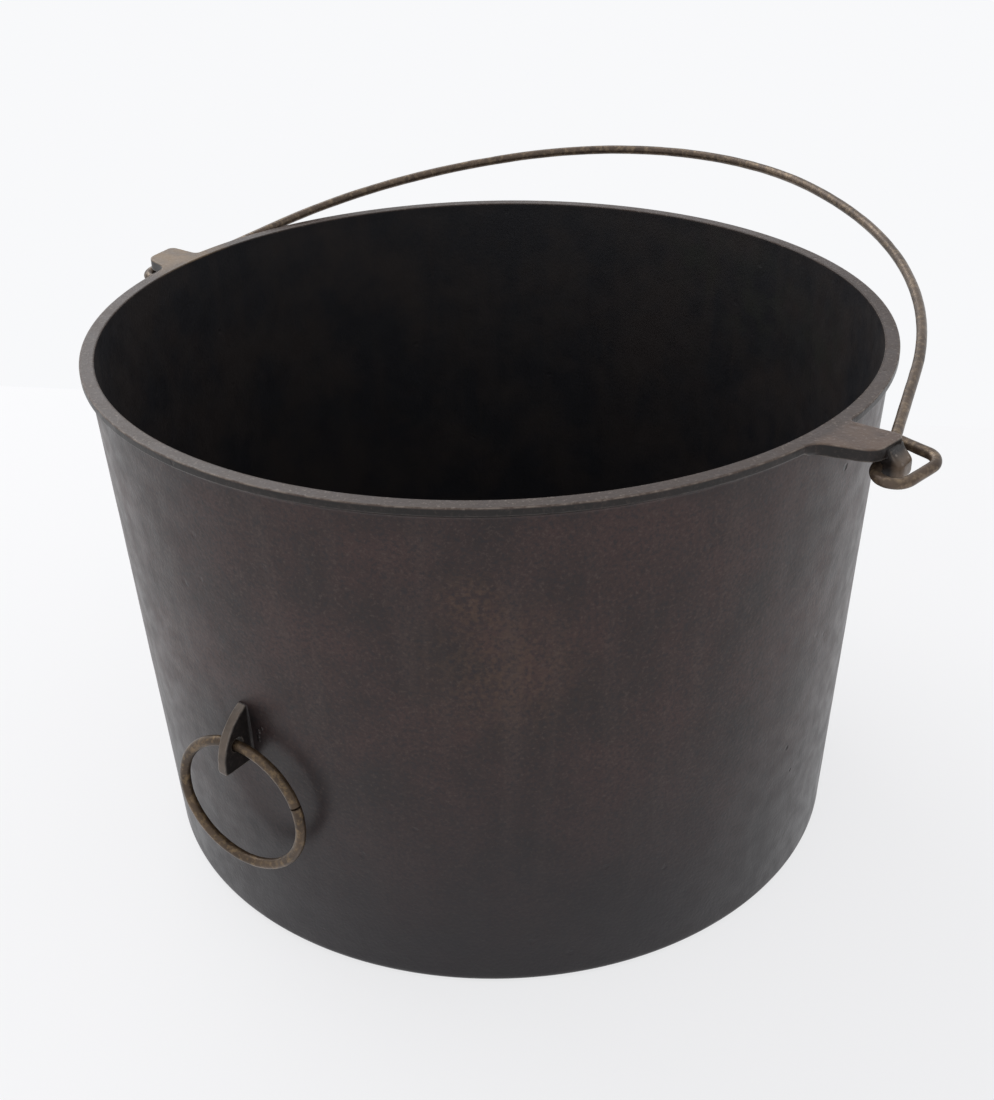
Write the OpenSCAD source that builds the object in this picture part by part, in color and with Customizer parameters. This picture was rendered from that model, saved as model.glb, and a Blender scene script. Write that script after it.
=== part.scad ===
// Cast iron flat bottom kettle with a wire bail and a tilt ring.
// Origin at the centre of the base, +Z up, X through the two ears, -Y on the tilt ring's side.

/* [Pot] */
// Height from the floor to the rim
pot_h = 179; // [150:1:210]
// Outer radius at the floor
base_r = 122.2; // [110:0.2:126]
// Outer radius of the wall just under the rim bead
mouth_r = 130.9; // [127:0.1:136]
// Wall thickness at the rim
rim_wall = 2.6; // [2:0.1:4]
// Wall thickness at the floor
base_wall = 3.8; // [3:0.1:6]
// Floor thickness
floor_t = 4.5; // [3:0.1:8]
// Radius of the outer corner at the floor
base_round = 3; // [1:0.5:6]
// Radius of the inner corner at the floor
inner_round = 9; // [4:0.5:16]

/* [Rim bead] */
// Height of the bead
bead_h = 6; // [4:0.5:9]
// How far the bead stands out from the wall
bead_out = 2.1; // [1:0.1:3]
// Radius of the bead's upper outer edge
bead_round = 1.6; // [0.8:0.1:2]

/* [Ears] */
// How far the right ear stands out beyond the rim bead
right_ear_len = 16.3; // [14:0.1:19]
// How far the left ear stands out beyond the rim bead
left_ear_len = 13; // [12:0.1:16]
// Thickness of an ear
ear_t = 4; // [3:0.1:5]
// Width of an ear at its nose, front edge to back edge
ear_w = 15.3; // [14:0.1:20]
// How far an ear's back edge lies ahead of the pot's centre line
ear_back = 6.7; // [4:0.1:9]
// Angle by which the front edge of an ear draws in towards its nose
ear_taper = 14; // [8:1:20]
// Radius of the nose
ear_nose_r = 6; // [4:0.5:7]
// How far the nose's centre lies behind the centre of the tip's corner
ear_nose_back = 4.9; // [3:0.1:6]
// Radius of the tip's back corner
ear_tip_r = 2.2; // [1:0.1:3]
// Radius of the cast fillet where the front edge meets the rim
ear_root_r = 4; // [2:0.5:6]
// Radius of the cast fillet where the back edge meets the rim
ear_back_root_r = 1.6; // [1:0.1:3]

/* [Toes] */
// How far a toe reaches below the rim
toe_drop = 11.3; // [9:0.1:12]
// Thickness of a toe
toe_t = 5; // [4:0.1:5.5]
// Width of a toe along the rim
toe_w = 8.5; // [7:0.1:10]
// How far the right toe swells out beyond its ear's tip
right_toe_out = 3.7; // [2:0.1:4.5]
// How far the left toe swells out beyond its ear's tip
left_toe_out = 0.7; // [0.5:0.1:4.5]
// Depth below the rim where the toe has its full swell
toe_swell = 5.2; // [4.5:0.1:7]
// Radius of the cast fillet between an ear's underside and its toe
toe_root_r = 2.4; // [1:0.1:3]
// Radius of a toe's edges
toe_round = 2; // [0.8:0.1:2.2]

/* [Bail] */
// Diameter of the bail's wire
bail_d = 3.5; // [2.5:0.1:3.8]
// How far the bail's height above its hinge axis exceeds the rim's radius
bail_over = 27; // [18:0.5:36]
// How much smaller the crown's radius is than the rim's
crown_less = 21.5; // [12:0.5:32]
// Place of the crown's middle, right of the pot's centre plane
crown_shift = -4.4; // [-8:0.1:8]
// Half angle of the crown on the right
right_crown_angle = 25.5; // [20:0.5:45]
// Half angle of the crown on the left
left_crown_angle = 41.5; // [30:0.5:50]
// How much larger the right shoulder's radius is than the rim's
right_shoulder_more = 37; // [20:0.5:50]
// How much larger the left shoulder's radius is than the rim's
left_shoulder_more = 31.5; // [20:0.5:45]
// Angle between the laid back bail and the level
bail_rest = 8.5; // [8:0.5:20]
// Gap between the bail's wire and the back of the ear when the bail stands up
bail_play = 0.35; // [0.2:0.05:1]
// Gap between the bail's wire and the underside of the ear
bail_drop = 0.05; // [0:0.05:1]

/* [Bail eyes] */
// Gap between the right eye's inner side and its toe
eye_gap = 0.4; // [0.3:0.1:1.5]
// Gap between the left leg and the rim bead, at the bend into the eye
left_leg_gap = 2.75; // [2.5:0.05:3.5]
// Angle by which an eye's inner side leans outwards
eye_lean = 6.8; // [4:0.1:8]
// Bend radius where the leg runs into the eye
knuckle_r = 10; // [6:0.5:14]
// Distance along the leg from the hinge axis to the middle of that bend
knuckle_u = 6; // [4:0.1:8]
// Distance along the eye from the hinge axis to the start of its bow
bow_u = 11.6; // [11.5:0.1:14]
// Bend radius of the right bow, which passes under the toe
right_bow_r = 5.5; // [5.3:0.1:6]
// Angle that the right bow turns through
right_bow_turn = 156.8; // [150:0.2:165]
// Bend radius of the left bow
left_bow_r = 4.6; // [4.6:0.1:6]
// Angle that the left bow turns through
left_bow_turn = 170; // [160:1:174]
// Length of the eye's outer side
outer_run = 8.3; // [8:0.1:12]
// Bend radius of the outer back corner
corner_r = 4.9; // [4:0.1:6]
// Angle by which an eye's closing side slopes back to its leg
closing_lean = 13.4; // [8:0.2:18]
// Gap between the wire's end and the leg
end_gap = 0.5; // [0.3:0.1:2]

/* [Tilt ring] */
// Diameter of the ring's wire
ring_d = 3.5; // [2.5:0.1:4]
// Radius of the ring to the middle of its wire
ring_r = 22.7; // [18:0.1:28]
// Angle by which the ring hangs turned to one side
ring_yaw = 6; // [0:1:8]
// Width of the open seam where the ring's ends meet
ring_seam = 0.5; // [0.3:0.1:2]
// Place of the seam, as an angle round from the ring's lowest point
ring_seam_at = 108; // [60:1:150]

/* [Ring lug] */
// How far the lug stands out from the pot's wall
lug_reach = 12.4; // [11:0.1:14]
// Thickness of the lug
lug_t = 3.4; // [2.5:0.1:5]
// Height of the lug's underside above the floor
lug_z = 76.9; // [60:0.1:110]
// Height of the lug at the wall
lug_h = 20.4; // [18:0.1:26]
// Height of the lug's outermost point above its underside
lug_belly = 2.1; // [1.5:0.1:5]
// Radius of the lug's lower outer corner
lug_round = 0.8; // [0.5:0.1:1.5]
// Radius of the cast fillet where the lug meets the wall
lug_root_r = 2.5; // [1:0.1:4]
// Radius of the lug's hole
lug_hole_r = 2.5; // [2.3:0.1:3]
// Height of the hole's centre above the lug's underside
lug_hole_up = 8.6; // [7.5:0.1:10]
// Distance of the hole's centre from the lug's outermost point
lug_hole_in = 6.1; // [5.5:0.1:7]
// Gap between the hanging ring's wire and the bottom of the hole
ring_play = 0.3; // [0.1:0.05:0.5]

/* [Hidden] */
$fn = 96;

iron = [0.2, 0.19, 0.18];
wire = [0.45, 0.38, 0.28];
arc_steps = 6;
wire_sides = 16;

rim_r = mouth_r + bead_out;
bore_r = mouth_r - rim_wall;
wall_rise = (mouth_r - base_r) / pot_h;

right_ear_reach = rim_r + right_ear_len;
left_ear_reach = rim_r + left_ear_len;
toe_back = ear_back + 0.1;

// Bail: hinge axis and the bends where its legs run into the eyes
bail_r = bail_d / 2;
bail_h = rim_r + bail_over;
crown_r = rim_r - crown_less;
hinge_y = -ear_back + bail_r + bail_play - 0.1;
hinge_z = pot_h - ear_t - bail_r - bail_drop;
right_knuckle_x = right_ear_reach + right_toe_out - toe_t - eye_gap - bail_r
    - (knuckle_u + bow_u) * tan(eye_lean);
left_knuckle_x = rim_r + left_leg_gap + bail_r;

// Tilt ring: hinge axis in the lug's hole
ring_wire_r = ring_d / 2;
lug_face_y = -(base_r + wall_rise * lug_z) - lug_reach;
hole_y = lug_face_y + lug_hole_in;
hole_z = lug_z + lug_hole_up;
ring_z = hole_z - (lug_hole_r - ring_wire_r) + ring_play;

// Points along an arc
function arc(c, r, from, to, n = arc_steps) =
    [for (i = [0 : n]) let (a = from + (to - from) * i / n) c + r * [cos(a), sin(a)]];

function pot_outline() = concat(
    [[0, 0]],
    arc([base_r - base_round, base_round], base_round, -90, 0),
    [[mouth_r, pot_h - bead_h - 0.8], [mouth_r + 0.4, pot_h - bead_h]],
    arc([rim_r - 1, pot_h - bead_h + 1.4], 1, -90, 0, 3),
    arc([rim_r - bead_round, pot_h - bead_round], bead_round, 0, 90),
    arc([bore_r + 0.9, pot_h - 0.9], 0.9, 90, 180, 4),
    arc([base_r - base_wall - inner_round, floor_t + inner_round], inner_round, 0, -90, 8),
    [[0, floor_t]]
);

// Outline of an ear from above, tangent arcs joined by straight edges
function ear_outline(reach) =
    let (
        tip_c = [reach - ear_tip_r, -ear_back - ear_tip_r],
        nose_c = [tip_c.x - ear_nose_back, -ear_back - ear_w + ear_nose_r],
        d = tip_c - nose_c,
        side = atan2(d.y, d.x) - acos((ear_nose_r - ear_tip_r) / norm(d)),
        out = [sin(ear_taper), -cos(ear_taper)],
        along = [-cos(ear_taper), -sin(ear_taper)],
        start = nose_c + (ear_nose_r + ear_root_r) * out,
        b = start * along,
        t = -b - sqrt(b * b - start * start + pow(rim_r + ear_root_r, 2)),
        root_c = start + t * along,
        back_c = [sqrt(pow(rim_r + ear_back_root_r, 2) - pow(ear_back_root_r - ear_back, 2)),
                  ear_back_root_r - ear_back],
        root_end = atan2(root_c.y, root_c.x),
        back_end = atan2(back_c.y, back_c.x)
    )
    concat(
        [(rim_r - bead_out) * [cos(root_end), sin(root_end)]],
        arc(root_c, ear_root_r, 180 + root_end, 90 + ear_taper),
        arc(nose_c, ear_nose_r, ear_taper - 90, side),
        arc(tip_c, ear_tip_r, side, 90),
        arc(back_c, ear_back_root_r, -90, back_end - 180, 4),
        [(rim_r - bead_out) * [cos(back_end), sin(back_end)]]
    );

// Outline of a toe along Y, heights measured from the rim; it grows out of the ear's underside
function toe_outline(reach, face) =
    let (inner = face - toe_t)
    concat(
        [[inner - toe_root_r, -ear_t / 2], [inner - toe_root_r, -ear_t]],
        arc([inner - toe_root_r, -ear_t - toe_root_r], toe_root_r, 90, 0),
        arc([inner + 1, -toe_drop + 1], 1, 180, 270, 3),
        arc([face - toe_round, -toe_drop + toe_round], toe_round, -90, 0),
        [[face, -toe_swell - 0.8], [face - 0.4, -toe_swell]],
        [[reach + 0.35 * (face - reach), -ear_t], [reach, -ear_t / 2]]
    );

// A toe seen along X, its lower edges rounded
function toe_side() = concat(
    [[-toe_back - toe_w, 1]],
    arc([-toe_back - toe_w + toe_round, -toe_drop + toe_round], toe_round, 180, 270),
    arc([-toe_back - toe_round, -toe_drop + toe_round], toe_round, 270, 360),
    [[-toe_back, 1]]
);

// Plan of a toe, rounded on its outer edges
function toe_plan(face) = concat(
    [[face - toe_t - toe_root_r, -toe_back - toe_w]],
    arc([face - toe_round, -toe_back - toe_w + toe_round], toe_round, -90, 0),
    arc([face - toe_round, -toe_back - toe_round], toe_round, 0, 90),
    [[face - toe_t - toe_root_r, -toe_back]]
);

// An ear on the right, out to the given reach, with its toe's face at the other
module ear(reach, face) {
    translate([0, 0, pot_h - ear_t])
        linear_extrude(ear_t) polygon(ear_outline(reach));
    intersection() {
        translate([0, -toe_back, pot_h])
            rotate([90, 0, 0]) linear_extrude(toe_w) polygon(toe_outline(reach, face));
        translate([0, 0, pot_h - toe_drop])
            linear_extrude(toe_drop) polygon(toe_plan(face));
        translate([face - toe_t - toe_root_r, 0, pot_h])
            rotate([90, 0, 90]) linear_extrude(toe_t + toe_root_r) polygon(toe_side());
    }
}

// Outline of the ring lug along X, as distances out from the pot's axis and heights:
// a flat underside and one curve from the lower corner up to the wall
function lug_outline() =
    let (
        root = base_r + wall_rise * (lug_z + lug_h / 2) - 1.6,
        out = -lug_face_y - base_r - wall_rise * (lug_z + lug_h),
        rise = lug_h - lug_belly,
        r = (out * out + rise * rise) / (2 * out),
        c = [-lug_face_y - r, lug_z + lug_belly],
        low = asin((lug_belly - lug_round) / r)
    )
    concat(
        [[root, lug_z]],
        arc([c.x + r * cos(low) - lug_round, lug_z + lug_round], lug_round, -90, 0, 3),
        arc(c, r, -low, atan2(rise, r - out), 8),
        [[root, lug_z + lug_h]]
    );

// Plan of the ring lug, its root spread into the wall
function lug_plan() =
    let (
        wall = base_r + wall_rise * (lug_z + lug_h / 2) - 0.4,
        cove = wall + lug_root_r,
        side = lug_t / 2 + lug_root_r
    )
    concat(
        [[-side, -wall + 1.5]],
        arc([-side, -cove], lug_root_r, 90, 0),
        [[-lug_t / 2, lug_face_y - 1], [lug_t / 2, lug_face_y - 1]],
        arc([side, -cove], lug_root_r, 180, 90),
        [[side, -wall + 1.5]]
    );

module ring_lug() {
    difference() {
        intersection() {
            translate([lug_t / 2 + lug_root_r, 0, 0])
                rotate([90, 0, -90])
                    linear_extrude(lug_t + 2 * lug_root_r) polygon(lug_outline());
            translate([0, 0, lug_z - 1])
                linear_extrude(lug_h + 2) polygon(lug_plan());
        }
        translate([0, hole_y, hole_z])
            rotate([0, 90, 0]) cylinder(h = lug_t + 2, r = lug_hole_r, center = true);
    }
}

module pot() {
    color(iron) {
        rotate_extrude($fn = 180) polygon(pot_outline());
        ear(right_ear_reach, right_ear_reach + right_toe_out);
        mirror([1, 0, 0]) ear(left_ear_reach, left_ear_reach + left_toe_out);
        ring_lug();
    }
}

// A half of the bail's wire starts at the top of the crown and heads along +X.
// It is a list of steps, each a straight length, then a bend: radius and angle, positive to the left.
// A state is a place on the wire, in the bail's plane, and its heading.
function advance(s, step) =
    let (
        a = s[2],
        side = sign(step[2]),
        p = [s[0], s[1]] + step[0] * [cos(a), sin(a)],
        c = p + side * step[1] * [-sin(a), cos(a)],
        q = c + side * step[1] * [sin(a + step[2]), -cos(a + step[2])]
    )
    [q.x, q.y, a + step[2]];

function step_states(s, step) =
    let (
        start = advance(s, [step[0], 0, 0]),
        n = max(1, ceil(abs(step[2]) / (step[1] > 50 ? 5 : 14)))
    )
    concat(
        step[0] > 0 ? [start] : [],
        step[2] == 0 ? [] : [for (i = [1 : n]) advance(start, [0, step[1], step[2] * i / n])]
    );

function path_states(s, steps, i = 0) =
    i == len(steps) ? [s] : concat([s], path_states_after(step_states(s, steps[i]), steps, i));

function path_states_after(found, steps, i) =
    concat([for (j = [0 : 1 : len(found) - 2]) found[j]],
           path_states(found[len(found) - 1], steps, i + 1));

function end_state(s, steps, i = 0) =
    i == len(steps) ? s : end_state(advance(s, steps[i]), steps, i + 1);

// Crown, shoulder, leg, eye and the closing side of one half, its knuckle at the given distance
function half_bail(crown_angle, shoulder_r, knuckle_x, bow_r, bow_turn) =
    let (
        c = [(crown_r - shoulder_r) * sin(crown_angle),
             bail_h - crown_r + (crown_r - shoulder_r) * cos(crown_angle)],
        k = [knuckle_x, knuckle_u] - c,
        tangent = atan2(k.y, k.x) + acos(shoulder_r / norm(k)),
        knuckle_turn = eye_lean - tangent,
        trim = knuckle_r * tan(abs(knuckle_turn) / 2),
        steps = [
            [0, crown_r, -crown_angle],
            [0, shoulder_r, crown_angle + tangent - 90],
            [sqrt(k * k - shoulder_r * shoulder_r) - trim, knuckle_r, knuckle_turn],
            [(knuckle_u + bow_u) / cos(eye_lean) - trim, bow_r, bow_turn],
            [outer_run, corner_r, 270 - closing_lean - eye_lean - bow_turn]
        ],
        e = end_state([0, bail_h, 0], steps)
    )
    concat(steps, [[(knuckle_x + bail_r + end_gap - e[0]) / cos(e[2]), 0, 0]]);

module bail() {
    right = path_states([0, bail_h, 0],
        half_bail(right_crown_angle, rim_r + right_shoulder_more, right_knuckle_x - crown_shift,
                  right_bow_r, right_bow_turn));
    left = path_states([0, bail_h, 0],
        half_bail(left_crown_angle, rim_r + left_shoulder_more, left_knuckle_x + crown_shift,
                  left_bow_r, left_bow_turn));
    states = concat(
        [for (i = [len(left) - 1 : -1 : 1]) [-left[i][0], left[i][1], -left[i][2]]],
        right
    );
    points = [for (s = states, j = [0 : wire_sides - 1])
        let (t = 360 * j / wire_sides)
        [s[0] - bail_r * cos(t) * sin(s[2]), s[1] + bail_r * cos(t) * cos(s[2]), bail_r * sin(t)]];
    last = len(states) - 1;
    faces = concat(
        [[for (j = [0 : wire_sides - 1]) j]],
        [for (i = [0 : last - 1], j = [0 : wire_sides - 1])
            let (a = i * wire_sides, k = (j + 1) % wire_sides)
            [a + j, a + wire_sides + j, a + wire_sides + k, a + k]],
        [[for (j = [wire_sides - 1 : -1 : 0]) last * wire_sides + j]]
    );
    color(wire)
        translate([crown_shift, hinge_y, hinge_z]) rotate([bail_rest, 0, 0])
            polyhedron(points, faces, convexity = 6);
}

module tilt_ring() {
    seam = ring_seam / ring_r * 180 / PI;
    color(wire)
        translate([0, hole_y, ring_z]) rotate([0, 0, ring_yaw]) translate([0, 0, -ring_r])
            rotate([90, 0, 0]) rotate([0, 0, ring_seam_at - 90 + seam / 2])
                rotate_extrude(angle = 360 - seam) translate([ring_r, 0]) circle(d = ring_d);
}

pot();
bail();
tilt_ring();
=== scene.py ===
# Cast iron flat bottom kettle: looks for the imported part, in metres, +Z up
import math

import bmesh
import bpy
from mathutils import Matrix, Vector


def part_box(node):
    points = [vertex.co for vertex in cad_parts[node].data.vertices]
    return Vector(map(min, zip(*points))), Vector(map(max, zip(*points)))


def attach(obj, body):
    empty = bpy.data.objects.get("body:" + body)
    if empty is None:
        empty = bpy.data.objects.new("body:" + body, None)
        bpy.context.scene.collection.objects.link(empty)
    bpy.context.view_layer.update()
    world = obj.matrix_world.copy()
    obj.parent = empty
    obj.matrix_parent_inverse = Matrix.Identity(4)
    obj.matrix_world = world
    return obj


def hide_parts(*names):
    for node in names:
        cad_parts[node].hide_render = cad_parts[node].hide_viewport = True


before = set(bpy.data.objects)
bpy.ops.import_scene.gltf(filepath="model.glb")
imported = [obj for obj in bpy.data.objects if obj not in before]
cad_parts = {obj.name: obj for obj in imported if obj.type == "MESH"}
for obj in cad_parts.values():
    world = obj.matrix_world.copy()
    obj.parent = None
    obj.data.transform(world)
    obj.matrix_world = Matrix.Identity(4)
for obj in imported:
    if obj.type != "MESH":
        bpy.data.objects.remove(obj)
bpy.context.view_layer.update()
mm = 0.001
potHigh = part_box("pot")[1]
rimHeight = potHigh.z / mm
rimRadius = potHigh.y / mm
print("frame loaded, rim at", round(rimHeight, 1), "mm")

# Camera, at the photograph's own viewpoint
photoView = {
    "place": Vector((285.34, -371.19, 359.52)) * mm,
    "right": Vector((0.801306, 0.597844, -0.022184)),
    "up": Vector((-0.282878, 0.411301, 0.866494)),
    "focalPixels": 1491.3,
    "frameWidth": 994,
    "frameHeight": 1100,
    "clipStart": 0.01,
}


def linkObject(name, data):
    made = bpy.data.objects.new(name, data)
    bpy.context.scene.collection.objects.link(made)
    return made


def addCamera():
    right = photoView["right"].normalized()
    back = right.cross(photoView["up"]).normalized()
    up = back.cross(right)
    data = bpy.data.cameras.new("photoCamera")
    data.lens = photoView["focalPixels"] / photoView["frameHeight"] * data.sensor_width
    data.clip_start = photoView["clipStart"]
    camera = linkObject("photoCamera", data)
    turn = Matrix((right, up, back)).transposed().to_4x4()
    camera.matrix_world = Matrix.Translation(photoView["place"]) @ turn
    bpy.context.scene.camera = camera


# Small helpers for node trees
def newGroup(name, kind, inputs, outputs):
    # a socket is its label, its type and, for some inputs, its value
    group = bpy.data.node_groups.new(name, kind)
    for direction, sockets in (("INPUT", inputs), ("OUTPUT", outputs)):
        for label, socketType, *value in sockets:
            socket = group.interface.new_socket(label, in_out=direction,
                                                socket_type="NodeSocket" + socketType)
            if value:
                socket.default_value = value[0]
    return group, group.nodes.new("NodeGroupInput").outputs, group.nodes.new("NodeGroupOutput")


def setInput(tree, node, label, value):
    # a label is a socket's name, or i and its number
    socket = node.inputs[int(label[1:])] if label[1:].isdigit() else node.inputs[label.replace("_", " ")]
    if isinstance(value, bpy.types.NodeSocket):
        tree.links.new(value, socket)
    else:
        socket.default_value = value


def addNode(tree, kind, settings=None, **inputs):
    node = tree.nodes.new(kind)
    for key, value in (settings or {}).items():
        setattr(node, key, value)
    for label, value in inputs.items():
        setInput(tree, node, label, value)
    return node


def mathNode(tree, operation, a, b=None, clamp=False):
    node = addNode(tree, "ShaderNodeMath", {"operation": operation, "use_clamp": clamp}, i0=a)
    if b is not None:
        setInput(tree, node, "i1", b)
    return node.outputs[0]


def vectorNode(tree, operation, a, b=None):
    node = addNode(tree, "ShaderNodeVectorMath", {"operation": operation}, i0=a)
    if b is not None:
        setInput(tree, node, "i1", b)
    return node.outputs["Value" if operation in ("DISTANCE", "LENGTH", "DOT_PRODUCT") else "Vector"]


def noiseNode(tree, place, scale, detail, roughness=0.5):
    return addNode(tree, "ShaderNodeTexNoise", Vector=place, Scale=scale, Detail=detail,
                   Roughness=roughness).outputs[0]


def sizedNoise(tree, place, size, detail):
    # noise whose waves are about this size in metres
    return noiseNode(tree, place, mathNode(tree, "DIVIDE", 1.0, size), detail)


def spread(tree, value, low, high, toLow=0.0, toHigh=1.0):
    node = tree.nodes.new("ShaderNodeMapRange")
    for index, item in enumerate((value, low, high, toLow, toHigh)):
        setInput(tree, node, f"i{index}", item)
    return node.outputs[0]


def mixColour(tree, factor, a, b):
    node = tree.nodes.new("ShaderNodeMix")
    node.data_type = "RGBA"
    for index, value in ((0, factor), (6, a), (7, b)):
        setInput(tree, node, f"i{index}", value)
    return node.outputs[2]


def layOver(tree, colour, over, mask, share):
    # lays a colour over another by a mask, at a share of its strength
    return mixColour(tree, mathNode(tree, "MULTIPLY", mask, share), colour, over)


def layPatterns(tree, colour, layers, patterns, finish):
    # a layer is its pattern, the fade of that pattern, and its colour
    for pattern, fade, over in layers:
        colour = mixColour(tree, spread(tree, patterns[pattern], *fade), colour, finish[over])
    return colour


# Cast grain for the iron and the wires: fine and broad waves with scattered pits
grainForm = {
    "fineDetail": 3.0, "fineShare": 0.45, "broadScale": 0.16, "broadDetail": 5.0,
    "pitWobble": 0.0012, "pitSize": (0.06, 0.2), "pitDepth": 0.8,
}


def makeCastGrainGroup():
    g = grainForm
    group, given, end = newGroup("castGrain", "ShaderNodeTree", [
        ("Vector", "Vector"), ("Grain Size", "Float", 0.0016), ("Pit Spacing", "Float", 0.009),
        ("Pit Share", "Float", 0.3), ("Broad Share", "Float", 0.35),
    ], [("Height", "Float"), ("Pits", "Float"), ("Mottle", "Float")])
    place = given["Vector"]
    grainScale = mathNode(group, "DIVIDE", 1.0, given["Grain Size"])
    fine = addNode(group, "ShaderNodeTexNoise", Vector=place, Scale=grainScale, Detail=g["fineDetail"])
    broadScale = mathNode(group, "MULTIPLY", grainScale, g["broadScale"])
    broad = noiseNode(group, place, broadScale, g["broadDetail"])
    wobble = addNode(group, "ShaderNodeVectorMath", {"operation": "MULTIPLY_ADD"},
                     i0=fine.outputs["Color"], i1=(g["pitWobble"],) * 3, i2=place)
    cells = addNode(group, "ShaderNodeTexVoronoi", {"feature": "F1"}, Vector=wobble.outputs[0],
                    Scale=mathNode(group, "DIVIDE", 1.0, given["Pit Spacing"]))
    chosen = addNode(group, "ShaderNodeSeparateColor", Color=cells.outputs["Color"])
    kept = mathNode(group, "LESS_THAN", chosen.outputs[0], given["Pit Share"])
    size = spread(group, chosen.outputs[1], 0.0, 1.0, *g["pitSize"])
    reach = mathNode(group, "DIVIDE", cells.outputs["Distance"], size)
    dip = mathNode(group, "SUBTRACT", 1.0, reach, clamp=True)
    pits = mathNode(group, "MULTIPLY", dip, kept)
    height = mathNode(group, "ADD", mathNode(group, "MULTIPLY", fine.outputs[0], g["fineShare"]),
                      mathNode(group, "MULTIPLY", broad, given["Broad Share"]))
    height = mathNode(group, "SUBTRACT", height, mathNode(group, "MULTIPLY", pits, g["pitDepth"]))
    for label, socket in (("Height", height), ("Pits", pits), ("Mottle", broad)):
        setInput(group, end, label, socket)
    return group


# Masks: worn edges, a speckled patch for stains, painted light and painted shadow, and one small round mark
# such as a blister, a pit or a patch of painted light
maskForm = {
    "wearDetail": 4.0, "wearBreakup": (0.38, 0.6, 0.25, 1.0),
    "patchFade": (0.25, 1.0, 1.0, 0.0), "patchDetail": 6.0, "patchSpeckle": (0.42, 0.62),
    "spotFade": (0.4, 1.0, 1.0, 0.0),
}


def makeEdgeWearGroup():
    group, given, end = newGroup("edgeWear", "ShaderNodeTree", [
        ("Vector", "Vector"), ("Edge Low", "Float", 0.52), ("Edge High", "Float", 0.6),
        ("Breakup Size", "Float", 0.004),
    ], [("Mask", "Float")])
    bend = group.nodes.new("ShaderNodeNewGeometry").outputs["Pointiness"]
    edge = spread(group, bend, given["Edge Low"], given["Edge High"])
    noise = sizedNoise(group, given["Vector"], given["Breakup Size"], maskForm["wearDetail"])
    broken = spread(group, noise, *maskForm["wearBreakup"])
    setInput(group, end, "Mask", mathNode(group, "MULTIPLY", edge, broken, clamp=True))
    return group


def shareOfRadius(group, given):
    gap = vectorNode(group, "DISTANCE", given["Vector"], given["Centre"])
    return mathNode(group, "DIVIDE", gap, given["Radius"])


def makeStainAndLightGroup():
    group, given, end = newGroup("stainAndLightPatch", "ShaderNodeTree", [
        ("Vector", "Vector"), ("Centre", "Vector"), ("Radius", "Float", 0.03),
        ("Speckle Size", "Float", 0.004),
    ], [("Mask", "Float")])
    soft = spread(group, shareOfRadius(group, given), *maskForm["patchFade"])
    noise = sizedNoise(group, given["Vector"], given["Speckle Size"], maskForm["patchDetail"])
    speckle = spread(group, noise, *maskForm["patchSpeckle"])
    setInput(group, end, "Mask", mathNode(group, "MULTIPLY", soft, speckle, clamp=True))
    return group


def makeSpotGroup():
    group, given, end = newGroup("smallSpot", "ShaderNodeTree", [
        ("Vector", "Vector"), ("Centre", "Vector"), ("Radius", "Float", 0.0008),
    ], [("Mask", "Float")])
    setInput(group, end, "Mask", spread(group, shareOfRadius(group, given), *maskForm["spotFade"]))
    return group


# Where the pot's zones fade in or out, in metres
zoneForm = {
    "insideDepth": (-0.0004, 0.0),  # from the middle of the wall's thickness
    "proud": (0.00205, 0.0024),
    "ears": (-0.001, 0.002),  # from the rim's radius
    # where the painted light on a toe's outer end fades in, from the rim's radius
    "toes": (0.0172, 0.0194),
    "topDepth": (0.0003, 0.0006),  # from the rim's height, downwards
    "aboveFoot": (0.002, 0.003),
    "lugHalf": (0.0013, 0.0016),  # from the lug's middle plane
    "lugTop": (0.11, 0.12),
    "holeEdge": (0.0028, 0.0032),
    "rimEdge": (-0.00015, 0.00015, 0),  # the bright line runs along here
    "rimLine": (0.0001, 0.0003),
    "lineDetail": 5.0,
    "lineBreakup": (0.4, 0.62, 0.15, 1.0),
    "earMiddle": 0.0145,  # the line stops where an ear joins the rim
    "earHalf": (0.01, 0.013),
    "earRoot": (0.12, 0.121),
}


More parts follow.
